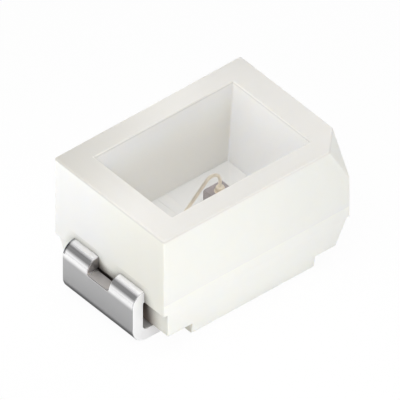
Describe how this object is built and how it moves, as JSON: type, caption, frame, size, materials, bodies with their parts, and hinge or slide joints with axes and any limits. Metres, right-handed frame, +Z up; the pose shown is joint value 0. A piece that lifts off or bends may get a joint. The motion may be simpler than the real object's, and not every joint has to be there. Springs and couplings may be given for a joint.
{
  "type": "surface-mount led",
  "caption": "White moulded surface-mount LED with an open reflector cup, folded silver solder leads and a slanted polarity corner.",
  "frame": {"origin": "under the middle of the body, on the plane of the solder side of both feet", "axes": "+X along the body towards the end with the slanted corner mark, +Y across it away from the marked corner, +Z up, the way the light leaves"},
  "size_m": [0.0022, 0.0014, 0.0012],
  "materials": {
    "housing": "satin",
    "lead": "satin",
    "chip_adhesive": "matte",
    "led_chip": "satin",
    "gold": "satin",
    "encapsulant": "gloss"
  },
  "bodies": {
    "root": {"housing": "housing", "cathode_lead": "lead", "anode_lead": "lead", "chip_adhesive": "chip_adhesive", "led_chip": "led_chip", "bond_pad": "gold", "bond_wire": "gold", "encapsulant": "encapsulant"}
  },
  "joints": []
}
